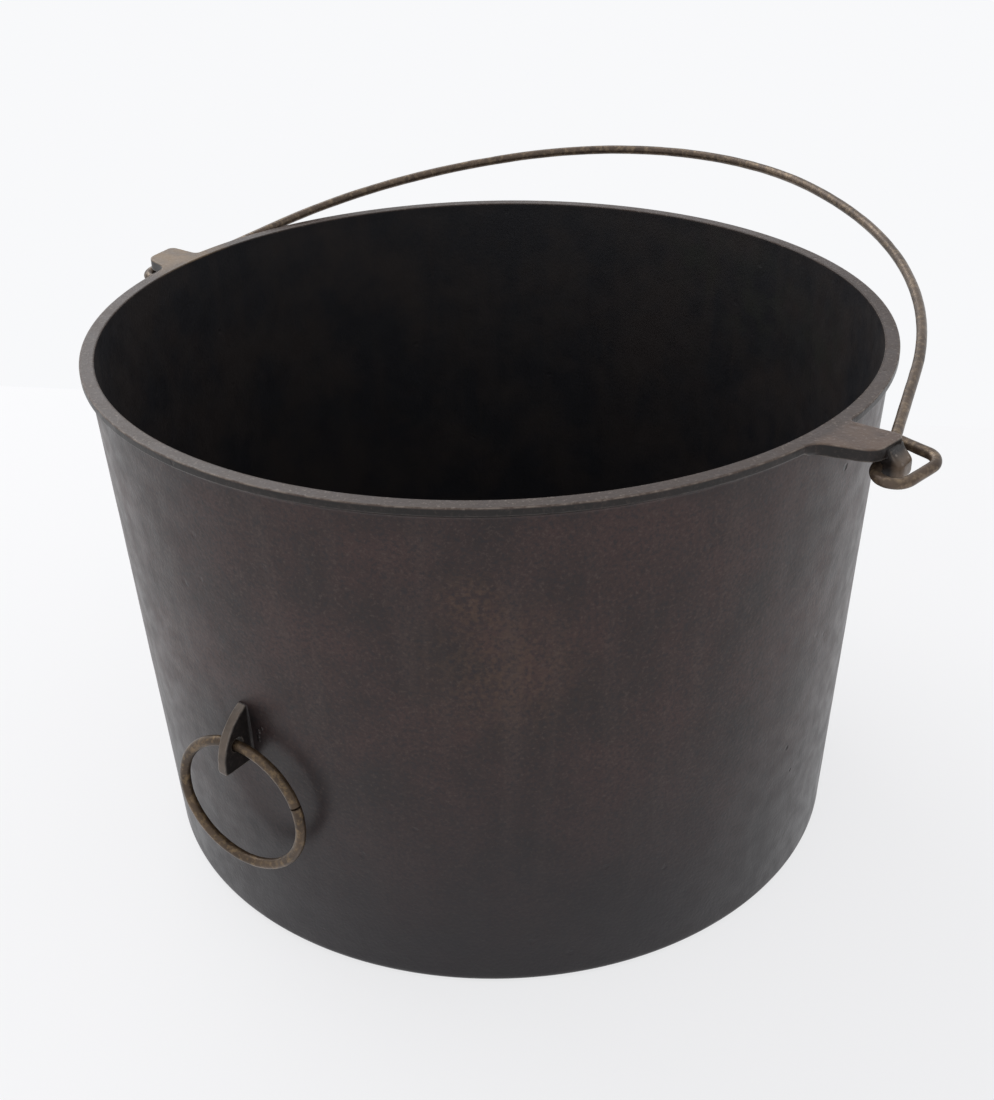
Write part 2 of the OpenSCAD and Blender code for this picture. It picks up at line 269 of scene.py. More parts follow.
def makeZonesGroup():
    # the pot's inside, its top faces, what stands proud of the wall, and the rim's bright edge
    form = zoneForm
    labels = ("Inside", "Top", "Ears", "Sides", "Toes", "Lug Front", "Rim Line")
    group, given, end = newGroup("potZones", "ShaderNodeTree", [
        ("Vector", "Vector"), ("Foot Radius", "Float", 0.12), ("Wall Slope", "Float", 0.05),
        ("Rim Radius", "Float", 0.13), ("Rim Height", "Float", 0.18), ("Hole Place", "Vector"),
        ("Breakup Size", "Float", 0.006),
    ], [(label, "Float") for label in labels])

    def within(value, ends):
        return spread(group, value, *ends, 1.0, 0.0)

    def beyond(value, ends):
        return spread(group, value, *ends)

    def both(a, b):
        return mathNode(group, "MULTIPLY", a, b)

    def less(a, b):
        return mathNode(group, "SUBTRACT", a, b)

    place = given["Vector"]
    x, y, z = addNode(group, "ShaderNodeSeparateXYZ", Vector=place).outputs
    radius = vectorNode(group, "LENGTH", vectorNode(group, "MULTIPLY", place, (1, 1, 0)))
    wall = mathNode(group, "ADD", both(z, given["Wall Slope"]), given["Foot Radius"])
    pastWall = less(radius, wall)
    pastRim = less(radius, given["Rim Radius"])
    down = less(given["Rim Height"], z)
    halfAcross = mathNode(group, "ABSOLUTE", x)
    inside = both(within(pastWall, form["insideDepth"]), beyond(z, form["aboveFoot"]))
    top = within(down, form["topDepth"])
    # what stands proud of the wall, less its top faces: these sides get painted shade
    sides = both(beyond(pastWall, form["proud"]), less(1.0, top))
    front = both(both(within(halfAcross, form["lugHalf"]), within(z, form["lugTop"])), sides)
    upright = vectorNode(group, "MULTIPLY", place, (0, 1, 1))
    fromHole = vectorNode(group, "DISTANCE", upright, given["Hole Place"])
    front = both(front, beyond(fromHole, form["holeEdge"]))
    section = addNode(group, "ShaderNodeCombineXYZ", X=pastRim, Y=down).outputs[0]
    line = within(vectorNode(group, "DISTANCE", section, form["rimEdge"]), form["rimLine"])
    fromEar = mathNode(group, "ABSOLUTE", mathNode(group, "ADD", y, form["earMiddle"]))
    byEar = both(within(fromEar, form["earHalf"]), beyond(halfAcross, form["earRoot"]))
    noise = sizedNoise(group, place, given["Breakup Size"], form["lineDetail"])
    line = mathNode(group, "MULTIPLY", both(line, less(1.0, byEar)),
                    spread(group, noise, *form["lineBreakup"]), clamp=True)
    zones = (inside, top, beyond(pastRim, form["ears"]), sides, beyond(pastRim, form["toes"]), front, line)
    for label, socket in zip(labels, zones):
        setInput(group, end, label, socket)
    return group


castGrain = makeCastGrainGroup()
edgeWear = makeEdgeWearGroup()
stainAndLightPatch = makeStainAndLightGroup()
smallSpot = makeSpotGroup()
potZones = makeZonesGroup()


def placeGroup(tree, group, **inputs):
    return addNode(tree, "ShaderNodeGroup", {"node_tree": group}, **inputs).outputs


def newMaterial(name):
    material = bpy.data.materials.new(name)
    material.use_nodes = True
    tree = material.node_tree
    tree.nodes.clear()
    shader = tree.nodes.new("ShaderNodeBsdfPrincipled")
    output = tree.nodes.new("ShaderNodeOutputMaterial")
    tree.links.new(shader.outputs[0], output.inputs[0])
    place = tree.nodes.new("ShaderNodeTexCoord").outputs["Object"]
    return material, tree, shader, place


def finishSurface(tree, shader, colour, specular, roughness, bump, height):
    tree.links.new(colour, shader.inputs["Base Color"])
    shader.inputs["Specular IOR Level"].default_value = specular
    tree.links.new(roughness, shader.inputs["Roughness"])
    relief = addNode(tree, "ShaderNodeBump", Strength=bump[0], Distance=bump[1], Height=height)
    tree.links.new(relief.outputs[0], shader.inputs["Normal"])


# Cast iron: colours, then patterns as scale, detail and roughness, then where its marks are, in metres
ironFinish = {
    "brown": (0.044, 0.021, 0.0185, 1),
    "dark": (0.021, 0.0115, 0.0107, 1),
    "streak": (0.05, 0.031, 0.027, 1),
    "speck": (0.09, 0.066, 0.056, 1),
    "low": (0.0135, 0.0115, 0.0145, 1),
    "inside": (0.0125, 0.0122, 0.0145, 1),
    "insideBrown": (0.024, 0.0195, 0.0185, 1),
    # sides is painted shade on the sides of what stands proud, such as the lip's outer face, the ears, the
    # toes and the lug
    "sides": (0.009, 0.0065, 0.0055, 1),
    # toe is painted light on the outer end of a toe
    "toe": (0.25, 0.18, 0.125, 1),
    "lugFront": (0.13, 0.098, 0.074, 1),
    # insideLit is painted light, a paler pool on the far inner wall below the rim
    "insideLit": (0.022, 0.023, 0.018, 1),
    "rimTop": (0.05, 0.033, 0.026, 1),
    "earTop": (0.112, 0.072, 0.051, 1),
    # tan is painted light on the left ear's top and the rim beside it
    "tan": (0.185, 0.122, 0.066, 1),
    "rust": (0.12, 0.066, 0.036, 1),
    "worn": (0.33, 0.28, 0.235, 1),
    # spot darkens the pits, and is also the colour of the painted shadow beside the lug
    "spot": (0.009, 0.008, 0.008, 1),
    "blotchNoise": (34.0, 7.0, 0.62),
    "streakNoise": (120.0, 4.0),
    "streakDraw": (1, 1, 0.1),
    "sandNoise": (850.0, 2.0, 0.7),
    "grain": {"Grain_Size": 0.0011, "Pit_Spacing": 0.009, "Pit_Share": 0.16, "Broad_Share": 0.5},
    "wear": {"Edge_Low": 0.508, "Edge_High": 0.54, "Breakup_Size": 0.003},
    "wallLayers": [("blotch", (0.38, 0.62), "brown"), ("streak", (0.5, 0.72, 0.0, 0.6), "streak"),
                   ("sand", (0.34, 0.5, 0.7, 0.0), "low"), ("sand", (0.55, 0.75, 0.0, 0.42), "speck"),
                   ("height", (0.015, 0.1, 0.85, 0.0), "low")],
    "insideLayers": [("blotch", (0.42, 0.62), "insideBrown"),
                     ("streak", (0.52, 0.7, 0.0, 0.5), "insideBrown")],
    "topLayers": [("sand", (0.57, 0.75, 0.0, 0.5), "worn")],
    "sideLayers": [("sand", (0.54, 0.7, 0.0, 0.25), "speck")],
    "patchy": (0.35, 0.6, 0.55, 1.0),
    "sideCover": (0.45, 0.65, 1.0, 0.8),
    "wallMiddle": 0.1203,
    "wallSlope": 0.0486,
    "rimLineBreakup": 0.0025,
    "lugHole": (0, -0.1322, 0.0855),
    "rustPatches": [((0.0795, -0.101, 0.125), 0.03), ((0.073, -0.107, 0.149), 0.012)],
    "rustSpeckle": 0.0017,
    "rustStrength": 0.3,
    # three speckled patches of painted light on the far inner wall, below the rim
    "insideLitPatches": [((0.0379, 0.1214, 0.1554), 0.03), ((0.0077, 0.1273, 0.164), 0.022),
                    ((0.0713, 0.1051, 0.152), 0.024)],
    "insideLitSpeckle": 0.009,
    "insideLitStrength": 0.5,
    # a painted shadow on the wall beside the lug
    "lugShadowPatch": ((0.006, -0.1265, 0.0905), 0.014),
    "lugShadowSpeckle": 0.02,
    "lugShadowStrength": 0.8,
    "leftEarLitPatch": ((-0.141, -0.0145, 0.179), 0.026),
    "wornStrength": 0.5,
    "blisters": [((0.0048, -0.1264, 0.0882), 0.001), ((0.0065, -0.1264, 0.09), 0.0007),
                 ((0.0046, -0.1263, 0.0861), 0.0007), ((0.0045, -0.1262, 0.0845), 0.0006)],
    "blisterHeight": 5.0,
    "pits": [((0.1248, -0.0106, 0.0622), 0.0011), ((0.1245, -0.0059, 0.0501), 0.0009),
             ((0.13, 0.0008, 0.1603), 0.0014)],
    "pitHeight": -3.0,
    "specular": 0.33,
    "roughness": (0.35, 0.65, 0.32, 0.42),
    "insideRougher": 0.17,
    "bump": (0.6, 0.0003),
}


def makeCastIron():
    f = ironFinish
    material, tree, shader, place = newMaterial("castIron")
    zones = placeGroup(tree, potZones, Vector=place, Foot_Radius=f["wallMiddle"], Wall_Slope=f["wallSlope"],
                       Rim_Radius=rimRadius * mm, Rim_Height=rimHeight * mm,
                       Hole_Place=f["lugHole"], Breakup_Size=f["rimLineBreakup"])
    grain = placeGroup(tree, castGrain, Vector=place, **f["grain"])
    patterns = {
        "blotch": noiseNode(tree, place, *f["blotchNoise"]),
        "streak": noiseNode(tree, vectorNode(tree, "MULTIPLY", place, f["streakDraw"]), *f["streakNoise"]),
        "sand": noiseNode(tree, place, *f["sandNoise"]),
        "height": addNode(tree, "ShaderNodeSeparateXYZ", Vector=place).outputs[2],
    }
    patchy = spread(tree, grain["Mottle"], *f["patchy"])

    def mark(group, centre, radius, **inputs):
        return placeGroup(tree, group, Vector=place, Centre=centre, Radius=radius, **inputs)[0]

    # the wall outside
    colour = layPatterns(tree, f["dark"], f["wallLayers"], patterns, f)
    for patch in f["rustPatches"]:
        rust = mark(stainAndLightPatch, *patch, Speckle_Size=f["rustSpeckle"])
        colour = layOver(tree, colour, f["rust"], rust, f["rustStrength"])
    # a painted shadow on the wall beside the lug
    lugShadow = mark(stainAndLightPatch, *f["lugShadowPatch"], Speckle_Size=f["lugShadowSpeckle"])
    colour = layOver(tree, colour, f["spot"], lugShadow, f["lugShadowStrength"])

    # the inside
    within = layPatterns(tree, f["inside"], f["insideLayers"], patterns, f)
    colour = mixColour(tree, zones["Inside"], colour, within)
    # a painted pool of light on the far inner wall, below the rim
    insideLit = 0.0
    for patch in f["insideLitPatches"]:
        insideLit = mathNode(tree, "MAXIMUM", mark(stainAndLightPatch, *patch, Speckle_Size=f["insideLitSpeckle"]), insideLit)
    insideLit = mathNode(tree, "MULTIPLY", insideLit, zones["Inside"])
    colour = layOver(tree, colour, f["insideLit"], insideLit, f["insideLitStrength"])

    # the top faces, painted shade on the sides of what stands proud, and the lug's front
    top = mixColour(tree, zones["Ears"], f["rimTop"], f["earTop"])
    # painted light on the left ear's top and the rim beside it, in tan
    top = mixColour(tree, mark(smallSpot, *f["leftEarLitPatch"]), top, f["tan"])
    top = layPatterns(tree, top, f["topLayers"], patterns, f)
    colour = layOver(tree, colour, top, zones["Top"], patchy)
    # painted light on the outer end of a toe, over the sides' painted shade
    side = layOver(tree, f["sides"], f["toe"], zones["Toes"], patchy)
    side = layPatterns(tree, side, f["sideLayers"], patterns, f)
    covered = spread(tree, patterns["streak"], *f["sideCover"])
    colour = layOver(tree, colour, side, zones["Sides"], covered)
    colour = layOver(tree, colour, f["lugFront"], zones["Lug Front"], patchy)

    # bare metal along the edges
    wear = placeGroup(tree, edgeWear, Vector=place, **f["wear"])[0]
    handled = mathNode(tree, "MAXIMUM", zones["Ears"], zones["Sides"])
    edges = mathNode(tree, "MAXIMUM", mathNode(tree, "MULTIPLY", wear, handled), zones["Rim Line"])
    colour = layOver(tree, colour, f["worn"], edges, f["wornStrength"])

    relief = grain["Height"]
    for spots, height in ((f["blisters"], f["blisterHeight"]), (f["pits"], f["pitHeight"])):
        for spot in spots:
            mask = mark(smallSpot, *spot)
            relief = mathNode(tree, "ADD", relief, mathNode(tree, "MULTIPLY", mask, height))
            if height < 0:
                colour = mixColour(tree, mask, colour, f["spot"])
    rough = spread(tree, grain["Mottle"], *f["roughness"])
    rougher = mathNode(tree, "MULTIPLY", zones["Inside"], f["insideRougher"])
    finishSurface(tree, shader, colour, f["specular"], mathNode(tree, "ADD", rough, rougher), f["bump"],
                  relief)
    return material


# Worn steel wire, in the bail's and the ring's own colours
wireFinish = {
    "grain": {"Grain_Size": 0.0005, "Pit_Spacing": 0.004, "Pit_Share": 0.25},
    "broadNoise": (75.0, 7.0, 0.65),
    "polishNoise": (520.0, 5.0, 0.6),
    "layers": [("broad", (0.34, 0.6, 0.25, 0.95), "base"), ("polish", (0.48, 0.66, 0.0, 0.6), "pale")],
    "pitStrength": 0.6,
    "metallic": 0.45,
    "specular": 0.5,
    "roughness": (0.35, 0.65, 0.44, 0.3),
    "bump": (0.5, 0.00022),
}
wireColours = {
    "bail": {"base": (0.115, 0.08, 0.055, 1), "pale": (0.28, 0.205, 0.13, 1),
             "dark": (0.04, 0.028, 0.021, 1)},
    "ring": {"base": (0.095, 0.062, 0.037, 1), "pale": (0.26, 0.175, 0.09, 1),
             "dark": (0.03, 0.02, 0.014, 1)},
}


def makeWornWire(name, colours):
    f = wireFinish
    material, tree, shader, place = newMaterial(name)
    grain = placeGroup(tree, castGrain, Vector=place, **f["grain"])
    patterns = {"broad": noiseNode(tree, place, *f["broadNoise"]),
                "polish": noiseNode(tree, place, *f["polishNoise"])}
    colour = layPatterns(tree, colours["dark"], f["layers"], patterns, colours)
    colour = layOver(tree, colour, colours["dark"], grain["Pits"], f["pitStrength"])
    shader.inputs["Metallic"].default_value = f["metallic"]
    finishSurface(tree, shader, colour, f["specular"], spread(tree, patterns["broad"], *f["roughness"]),
                  f["bump"], grain["Height"])
    return material


castIron = makeCastIron()
bailWire = makeWornWire("bailWire", wireColours["bail"])
ringWire = makeWornWire("ringWire", wireColours["ring"])
print("materials made")


# Geometry Nodes trees
def closeTree(tree, geometry, material, end):
    real = addNode(tree, "GeometryNodeRealizeInstances", Geometry=geometry)
    painted = addNode(tree, "GeometryNodeSetMaterial", Geometry=real.outputs[0], Material=material)
    tree.links.new(painted.outputs[0], end.inputs[0])


unevenForm = {"detail": 3.0, "level": 0.75}


def addUnevenness(tree, geometry, height, given):
    # pushes points inwards along their normals wherever a seeded noise is under its level
    place = tree.nodes.new("GeometryNodeInputPosition")
    normal = tree.nodes.new("GeometryNodeInputNormal")
    scale = mathNode(tree, "DIVIDE", 1.0, given["Uneven Size"])
    noise = addNode(tree, "ShaderNodeTexNoise", {"noise_dimensions": "4D"}, Vector=place.outputs[0],
                    Scale=scale, Detail=unevenForm["detail"], W=given["Seed"])
    under = mathNode(tree, "SUBTRACT", noise.outputs[0], unevenForm["level"])
    push = mathNode(tree, "MULTIPLY", mathNode(tree, "MINIMUM", under, 0.0), height)
    offset = addNode(tree, "ShaderNodeVectorMath", {"operation": "SCALE"}, i0=normal.outputs[0],
                     Scale=push)
    return addNode(tree, "GeometryNodeSetPosition", Geometry=geometry, Offset=offset.outputs[0]).outputs[0]


revolveForm = {"mergeDistance": 0.00001, "calmFoot": (0.0005, 0.006), "calmRim": 0.015}


def makeRevolveTree():
    # turns a profile, x outwards and y up, into a closed round body
    tree, given, end = newGroup("revolvedCasting", "GeometryNodeTree", [
        ("Profile", "Geometry"), ("Segments", "Int", 360), ("Uneven Height", "Float", 0.0),
        ("Uneven Size", "Float", 0.02), ("Calm Above", "Float", 0.17), ("Seed", "Float", 1.0),
        ("Material", "Material"),
    ], [("Geometry", "Geometry")])
    profile = given["Profile"]
    count = addNode(tree, "GeometryNodeAttributeDomainSize", Geometry=profile).outputs["Point Count"]
    across = mathNode(tree, "ADD", given["Segments"], 1.0)
    grid = addNode(tree, "GeometryNodeMeshGrid", Size_X=1.0, Size_Y=1.0, Vertices_X=across,
                   Vertices_Y=count)
    place = tree.nodes.new("GeometryNodeInputPosition").outputs[0]
    gridX, gridY, height = addNode(tree, "ShaderNodeSeparateXYZ", Vector=place).outputs
    angle = mathNode(tree, "MULTIPLY", mathNode(tree, "ADD", gridX, 0.5), 2 * math.pi)
    last = mathNode(tree, "SUBTRACT", count, 1.0)
    row = mathNode(tree, "MULTIPLY", mathNode(tree, "ADD", gridY, 0.5), last)
    sample = addNode(tree, "GeometryNodeSampleIndex", {"data_type": "FLOAT_VECTOR"}, Geometry=profile,
                     Index=mathNode(tree, "ROUND", row))
    tree.links.new(place, sample.inputs["Value"])
    outwards, up = addNode(tree, "ShaderNodeSeparateXYZ", Vector=sample.outputs[0]).outputs[:2]
    point = addNode(tree, "ShaderNodeCombineXYZ", Z=up,
                    X=mathNode(tree, "MULTIPLY", outwards, mathNode(tree, "COSINE", angle)),
                    Y=mathNode(tree, "MULTIPLY", outwards, mathNode(tree, "SINE", angle)))
    turned = addNode(tree, "GeometryNodeSetPosition", Geometry=grid.outputs["Mesh"],
                     Position=point.outputs[0])
    merged = addNode(tree, "GeometryNodeMergeByDistance", Geometry=turned.outputs[0],
                     Distance=revolveForm["mergeDistance"])
    calmEnd = given["Calm Above"]
    calmStart = mathNode(tree, "SUBTRACT", calmEnd, revolveForm["calmRim"])
    calm = mathNode(tree, "MULTIPLY", spread(tree, height, *revolveForm["calmFoot"]),
                    spread(tree, height, calmStart, calmEnd, 1.0, 0.0))
    uneven = addUnevenness(tree, merged.outputs[0],
                           mathNode(tree, "MULTIPLY", calm, given["Uneven Height"]), given)
    smooth = addNode(tree, "GeometryNodeSetShadeSmooth", Geometry=uneven)
    closeTree(tree, smooth.outputs[0], given["Material"], end)
    return tree


def makeWireTree():
    # sweeps a round wire along a line of points
    tree, given, end = newGroup("wireAlongPath", "GeometryNodeTree", [
        ("Path", "Geometry"), ("Wire Radius", "Float", 0.00175), ("Sides", "Int", 28),
        ("Uneven Height", "Float", 0.0), ("Uneven Size", "Float", 0.01), ("Seed", "Float", 1.0),
        ("Material", "Material"),
    ], [("Geometry", "Geometry")])
    line = addNode(tree, "GeometryNodeMeshToCurve", Mesh=given["Path"])
    section = addNode(tree, "GeometryNodeCurvePrimitiveCircle", Resolution=given["Sides"],
                      Radius=given["Wire Radius"])
    tube = addNode(tree, "GeometryNodeCurveToMesh", Curve=line.outputs[0],
                   Profile_Curve=section.outputs["Curve"], Fill_Caps=True)
    uneven = addUnevenness(tree, tube.outputs[0], given["Uneven Height"], given)
    closeTree(tree, uneven, given["Material"], end)
    return tree


def makeCastSkinTree():
    # gives a smooth casting the slight unevenness of a sand mould
    tree, given, end = newGroup("castSkin", "GeometryNodeTree", [
        ("Casting", "Geometry"), ("Uneven Height", "Float", 0.0002), ("Uneven Size", "Float", 0.006),
        ("Seed", "Float", 1.0), ("Material", "Material"),
    ], [("Geometry", "Geometry")])
    uneven = addUnevenness(tree, given["Casting"], given["Uneven Height"], given)
    smooth = addNode(tree, "GeometryNodeSetShadeSmooth", Geometry=uneven)
    closeTree(tree, smooth.outputs[0], given["Material"], end)
    return tree


revolvedCasting = makeRevolveTree()
wireAlongPath = makeWireTree()
castSkin = makeCastSkinTree()


# Helpers for the meshes; outlines and paths are in millimetres
def pointMesh(name, points):
    mesh = bpy.data.meshes.new(name)
    mesh.from_pydata([Vector(p) * mm for p in points], [(i, i + 1) for i in range(len(points) - 1)], [])
    return linkObject(name, mesh)


def settle(piece):
    # turns the modifiers' result into the piece's own plain mesh
    graph = bpy.context.evaluated_depsgraph_get()
    made = bpy.data.meshes.new_from_object(piece.evaluated_get(graph), depsgraph=graph)
    made.name = piece.name
    piece.modifiers.clear()
    piece.data = made


def growWith(piece, tree, values):
    modifier = piece.modifiers.new(tree.name, "NODES")
    modifier.node_group = tree
    for item in tree.interface.items_tree:
        if item.item_type == "SOCKET" and item.in_out == "INPUT" and item.name in values:
            modifier[item.identifier] = values[item.name]
    settle(piece)


def faceOutwards(piece):
    work = bmesh.new()
    work.from_mesh(piece.data)
    bmesh.ops.recalc_face_normals(work, faces=work.faces)
    work.to_mesh(piece.data)
    work.free()


def arc(centre, radius, fromDeg, toDeg, steps=8):
    angles = [math.radians(fromDeg + (toDeg - fromDeg) * i / steps) for i in range(steps + 1)]
    return [(centre[0] + radius * math.cos(a), centre[1] + radius * math.sin(a)) for a in angles]


def along(start, stop, spacing):
    # evenly spaced points from start up to, but not at, stop
    steps = max(1, round(math.dist(start, stop) / spacing))
    return [(start[0] + (stop[0] - start[0]) * i / steps, start[1] + (stop[1] - start[1]) * i / steps)
            for i in range(steps)]


# The pot's floor, wall and lip, a revolved casting
potShape = {
    "mouthRadius": rimRadius - 2.1,
    "baseRadius": 122.2,
    "rimWall": 2.6,
    "baseWall": 3.8,
    "floor": 4.5,
    "baseRound": 3,
    "innerRound": 9,
    "wallStart": (0.1, 2),
    "lipHeight": 2.7,
    "lipUnder": 2.1,
    "lipRound": 0.5,
    "underSink": 0.3,
    "underRound": 1.5,
    "underTurn": 55,
    "mouthRound": 0.35,
    "rowSpacing": {"under": 12, "wall": 3, "lip": 0.6, "top": 0.5, "bore": 3, "floor": 8},
    "rowSkip": {"lip": 0.5, "top": 0.3, "bore": 0.8, "floor": 4},  # past the end of a round
    "segments": 400,
    "unevenHeight": 0.0003,
    "unevenSize": 0.03,
    "calmRim": 8,
    "seed": 3.0,
}


def potProfile():
    s = potShape
    gap = s["rowSpacing"]
    skip = s["rowSkip"]
    top = rimHeight
    bore = s["mouthRadius"] - s["rimWall"]
    corner = (s["baseRadius"] - s["baseRound"], s["baseRound"])
    wallStart = (s["baseRadius"] + s["wallStart"][0], s["baseRound"] + s["wallStart"][1])
    under = (s["mouthRadius"] - s["underSink"], top - s["lipHeight"] - s["lipUnder"])
    root = (under[0] + s["underRound"], under[1])
    lipLow = (rimRadius - s["lipRound"], top - s["lipHeight"] + s["lipRound"])
    lipTop = (rimRadius - s["lipRound"], top - s["lipRound"])
    mouth = (bore + s["mouthRound"], top - s["mouthRound"])
    innerCorner = (s["baseRadius"] - s["baseWall"] - s["innerRound"], s["floor"] + s["innerRound"])
    rows = along((0, 0), (corner[0], 0), gap["under"])
    rows += arc(corner, s["baseRound"], -90, 0, 7)
    rows += along(wallStart, under, gap["wall"])
    rows += arc(root, s["underRound"], 180, 180 - s["underTurn"], 6)
    rows += arc(lipLow, s["lipRound"], -s["underTurn"], 0, 5)
    rows += along((rimRadius, lipLow[1] + skip["lip"]), (rimRadius, lipTop[1]), gap["lip"])
    rows += arc(lipTop, s["lipRound"], 0, 90, 6)
    rows += along((lipTop[0] - skip["top"], top), (mouth[0], top), gap["top"])
    rows += arc(mouth, s["mouthRound"], 90, 180, 6)
    rows += along((bore, mouth[1] - skip["bore"]), (innerCorner[0] + s["innerRound"], innerCorner[1]),
                  gap["bore"])
    rows += arc(innerCorner, s["innerRound"], 0, -90, 12)
    rows += along((innerCorner[0] - skip["floor"], s["floor"]), (0, s["floor"]), gap["floor"])
    rows.append((0, s["floor"]))
    return [(x, y, 0) for x, y in rows]


def makePotWall():
    s = potShape
    wall = pointMesh("pot_wall", potProfile())
    growWith(wall, revolvedCasting, {
        "Segments": s["segments"], "Uneven Height": s["unevenHeight"], "Uneven Size": s["unevenSize"],
        "Calm Above": (rimHeight - s["calmRim"]) * mm, "Seed": s["seed"], "Material": castIron})
    faceOutwards(wall)
    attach(wall, "kettle")
    return wall


# Closed blocks that a casting is fused from
def addPrism(work, outline, toPoint, low, high):
    ends = [[work.verts.new(Vector(toPoint(x, y, h)) * mm) for x, y in outline] for h in (low, high)]
    work.faces.new(ends[0])
    work.faces.new(reversed(ends[1]))
    for i in range(len(outline)):
        j = (i + 1) % len(outline)
        work.faces.new((ends[0][j], ends[0][i], ends[1][i], ends[1][j]))


def fuseCasting(name, fill, fuse, seed):
    mesh = bpy.data.meshes.new(name)
    work = bmesh.new()
    fill(work)
    bmesh.ops.recalc_face_normals(work, faces=work.faces)
    bmesh.ops.triangulate(work, faces=work.faces)
    work.to_mesh(mesh)
    work.free()
    piece = linkObject(name, mesh)
    remesh = piece.modifiers.new("fuse", "REMESH")
    remesh.mode = "VOXEL"
    remesh.voxel_size = fuse["voxel"] * mm
    soften = piece.modifiers.new("soften", "SMOOTH")
    soften.factor = 0.5
    soften.iterations = fuse["smoothing"]
    settle(piece)
    growWith(piece, castSkin, {"Uneven Height": fuse["unevenHeight"], "Uneven Size": fuse["unevenSize"],
                               "Seed": seed, "Material": castIron})
    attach(piece, "kettle")
    return piece


# The two ears and their downturned toes
earShape = {
    "thickness": 4, "width": 15.3, "back": 6.7, "taper": 14, "noseRound": 6, "tipRound": 2.2,
    "noseBack": 4.9, "rootRound": 6.5, "rootLoss": 0.75, "backRootRound": 1.6, "insideRadius": 129.8,
    "lift": 0.04, "slices": 7,
    "fuse": {"voxel": 0.28, "smoothing": 9, "unevenHeight": 0.00006, "unevenSize": 0.004},
}
toeShape = {
    "drop": 11.3, "thickness": 5, "width": 8.5, "swell": 5.2, "swellLoss": 0.6, "rootRound": 2.4,
    "edgeRound": 2, "innerRound": 1, "setBack": 0.1, "slices": 13,
}
earSides = {
    "right": {"sign": 1, "length": 16.3, "toeOut": 3.7, "seed": 4.0},
    "left": {"sign": -1, "length": 13, "toeOut": 0.7, "seed": 6.0},
}


def earOutline(reach, rootRound):
    e = earShape
    tip = Vector((reach - e["tipRound"], -e["back"] - e["tipRound"]))
    nose = Vector((tip.x - e["noseBack"], -e["back"] - e["width"] + e["noseRound"]))
    d = tip - nose
    side = math.degrees(math.atan2(d.y, d.x) - math.acos((e["noseRound"] - e["tipRound"]) / d.length))
    taper = math.radians(e["taper"])
    out = Vector((math.sin(taper), -math.cos(taper)))
    run = Vector((-math.cos(taper), -math.sin(taper)))
    start = nose + (e["noseRound"] + rootRound) * out
    b = start.dot(run)
    root = start + (-b - math.sqrt(b * b - start.dot(start) + (rimRadius + rootRound) ** 2)) * run
    backY = e["backRootRound"] - e["back"]
    back = Vector((math.sqrt((rimRadius + e["backRootRound"]) ** 2 - backY ** 2), backY))
    rootEnd = math.degrees(math.atan2(root.y, root.x))
    backEnd = math.degrees(math.atan2(back.y, back.x))
    points = arc(root, rootRound, 180 + rootEnd, 90 + e["taper"])
    points += arc(nose, e["noseRound"], e["taper"] - 90, side, 10)
    points += arc(tip, e["tipRound"], side, 90)
    points += arc(back, e["backRootRound"], -90, backEnd - 180, 5)
    points += arc((0, 0), e["insideRadius"], backEnd, rootEnd, 10)
    return points


def toeOutline(reach, face, drop):
    t = toeShape
    inner = face - t["thickness"]
    under = -earShape["thickness"]
    points = [(inner - t["rootRound"], under / 2), (inner - t["rootRound"], under)]
    points += arc((inner - t["rootRound"], under - t["rootRound"]), t["rootRound"], 90, 0, 6)
    points += arc((inner + t["innerRound"], -drop + t["innerRound"]), t["innerRound"], 180, 270, 4)
    points += arc((face - t["edgeRound"], -drop + t["edgeRound"]), t["edgeRound"], -90, 0, 6)
    # the outer face swells out from under the ear's tip
    for i in range(9):
        share = 1 - i / 8
        points.append((reach + (face - reach) * (3 * share ** 2 - 2 * share ** 3),
                       under / 2 - (t["swell"] - t["swellLoss"]) * share))
    return points


def makeEar(name, side):
    e = earShape
    t = toeShape
    reach = rimRadius + side["length"]
    toeBack = e["back"] + t["setBack"]

    def fill(work):
        # the plate's root grows slimmer towards its underside, from the height of the rim's own lip
        for i in range(e["slices"]):
            share = i / (e["slices"] - 1)
            low = -potShape["lipHeight"] - (e["thickness"] - potShape["lipHeight"]) * share
            outline = earOutline(reach, e["rootRound"] - i * e["rootLoss"])
            addPrism(work, outline, lambda x, y, h: (side["sign"] * x, y, rimHeight + h), low, e["lift"])
        # stacked slices round the toe's upright and lower edges
        for i in range(t["slices"]):
            a = math.radians(90 * i / (t["slices"] - 1))
            shrink = t["edgeRound"] * (1 - math.sin(a))
            shy = t["edgeRound"] * (1 - math.cos(a))
            outline = toeOutline(reach, reach + side["toeOut"] - shy * 0.999, t["drop"] - shy)
            addPrism(work, outline, lambda x, z, h: (side["sign"] * x, h, rimHeight + z),
                     -toeBack - t["width"] + shrink, -toeBack - shrink)

    return fuseCasting(name, fill, e["fuse"], side["seed"])


# Lug that carries the tilt ring
lugShape = {
    "reach": 12.4, "thickness": 3.4, "low": 76.9, "height": 20.4, "belly": 2.1, "round": 0.8,
    "rootRound": 0.5, "rootDepth": 2, "holeRadius": 2.5, "holeUp": 8.6, "holeIn": 6.1, "ringPlay": 0.3,
    "slices": 4, "seed": 5.0,
    "fuse": {"voxel": 0.3, "smoothing": 5, "unevenHeight": 0.00025, "unevenSize": 0.004},
}
wallRise = (potShape["mouthRadius"] - potShape["baseRadius"]) / rimHeight
lugFace = potShape["baseRadius"] + wallRise * lugShape["low"] + lugShape["reach"]
holeY = -lugFace + lugShape["holeIn"]
holeZ = lugShape["low"] + lugShape["holeUp"]


